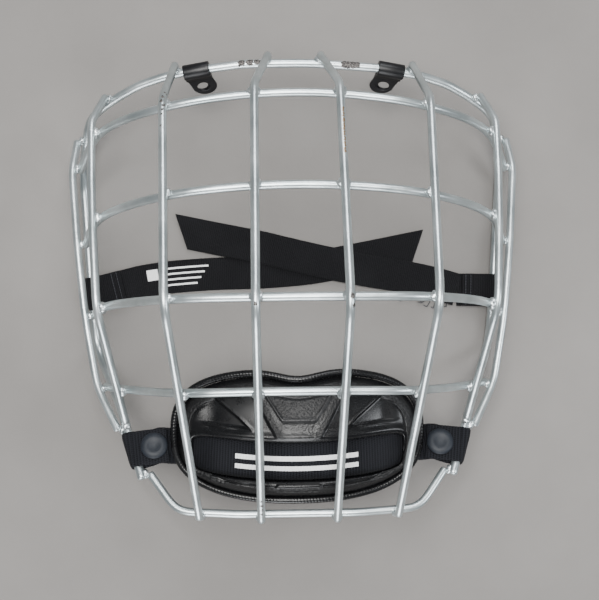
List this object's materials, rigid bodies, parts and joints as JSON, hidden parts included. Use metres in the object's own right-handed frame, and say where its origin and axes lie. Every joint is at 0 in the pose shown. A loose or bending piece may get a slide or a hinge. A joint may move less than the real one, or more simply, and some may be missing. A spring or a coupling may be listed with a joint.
{
  "type": "hockey wire face mask",
  "caption": "Welded wire face cage for a hockey helmet, with swivelling top clips, a moulded chin cup on snap-fastened webbing and loose side straps.",
  "frame": {"origin": "middle of the mask's footprint, on the surface that the back of its rim rests on", "axes": "+X to the right in the picture's view of the front, +Y towards the forehead, +Z out of the face"},
  "size_m": [0.2182, 0.2207, 0.1258],
  "materials": {
    "painted_wire": "semi-gloss silver-grey paint with chips at the welds",
    "coated_steel": "black vinyl-coated steel strip",
    "webbing": "ribbed black woven webbing",
    "moulded_foam": "satin black moulded foam skin",
    "lining": "matt black brushed lining",
    "snap_plastic": "dull dark blue-grey cap",
    "snap_metal": "dull plated"
  },
  "bodies": {
    "cage": {"rim_wire": "painted_wire", "chin_wire": "painted_wire", "cross_wire_brow": "painted_wire", "cross_wire_eye": "painted_wire", "cross_wire_mouth": "painted_wire", "cross_wire_jaw": "painted_wire", "face_bar_inner_right": "painted_wire", "face_bar_inner_left": "painted_wire", "face_bar_outer_right": "painted_wire", "face_bar_outer_left": "painted_wire", "side_bar_front_right": "painted_wire", "side_bar_front_left": "painted_wire", "side_bar_rear_right": "painted_wire", "side_bar_rear_left": "painted_wire", "chin_strap_back_right": "webbing", "chin_strap_back_left": "webbing", "snap_stud_right": "snap_metal", "snap_stud_left": "snap_metal", "side_strap_right": "webbing", "side_strap_left": "webbing"},
    "top_clip_right": {"top_clip_right": "coated_steel"},
    "top_clip_left": {"top_clip_left": "coated_steel"},
    "strap_end_right": {"strap_loop_right": "webbing"},
    "strap_end_left": {"strap_loop_left": "webbing"},
    "chin_cup": {"chin_cup_shell": "moulded_foam", "chin_cup_piping": "moulded_foam", "chin_cup_liner": "lining", "chin_webbing": "webbing"},
    "flap_right": {"chin_strap_flap_right": "webbing", "snap_cap_right": "snap_plastic", "snap_socket_right": "snap_metal"},
    "flap_left": {"chin_strap_flap_left": "webbing", "snap_cap_left": "snap_plastic", "snap_socket_left": "snap_metal"}
  },
  "joints": [
    {"name": "top_clip_right_swing", "type": "hinge", "parent": "cage", "child": "top_clip_right", "pos_m": [0.046, 0.10194, 0.0422], "axis": [0.9904, -0.112, -0.0811], "range_deg": [-45, 120]},
    {"name": "top_clip_left_swing", "type": "hinge", "parent": "cage", "child": "top_clip_left", "pos_m": [-0.046, 0.10194, 0.0422], "axis": [0.9904, 0.112, 0.0811], "range_deg": [-45, 120]},
    {"name": "strap_end_right_lift", "type": "hinge", "parent": "cage", "child": "strap_end_right", "pos_m": [0.10173, -0.003, 0.0038], "axis": [0.0665, 0.9978, 0], "range_deg": [0, 60]},
    {"name": "strap_end_left_lift", "type": "hinge", "parent": "cage", "child": "strap_end_left", "pos_m": [-0.10173, -0.003, 0.0038], "axis": [0.0665, -0.9978, 0], "range_deg": [0, 60]},
    {"name": "chin_cup_tilt", "type": "hinge", "parent": "cage", "child": "chin_cup", "pos_m": [0, -0.078, 0.036], "axis": [1, 0, 0], "range_deg": [-15, 15]},
    {"name": "flap_right_open", "type": "hinge", "parent": "cage", "child": "flap_right", "pos_m": [0.07682, -0.07666, 0.03946], "axis": [0.3103, 0.879, -0.362], "range_deg": [0, 100]},
    {"name": "flap_left_open", "type": "hinge", "parent": "cage", "child": "flap_left", "pos_m": [-0.07682, -0.07666, 0.03946], "axis": [0.3103, -0.879, 0.362], "range_deg": [0, 100]}
  ]
}
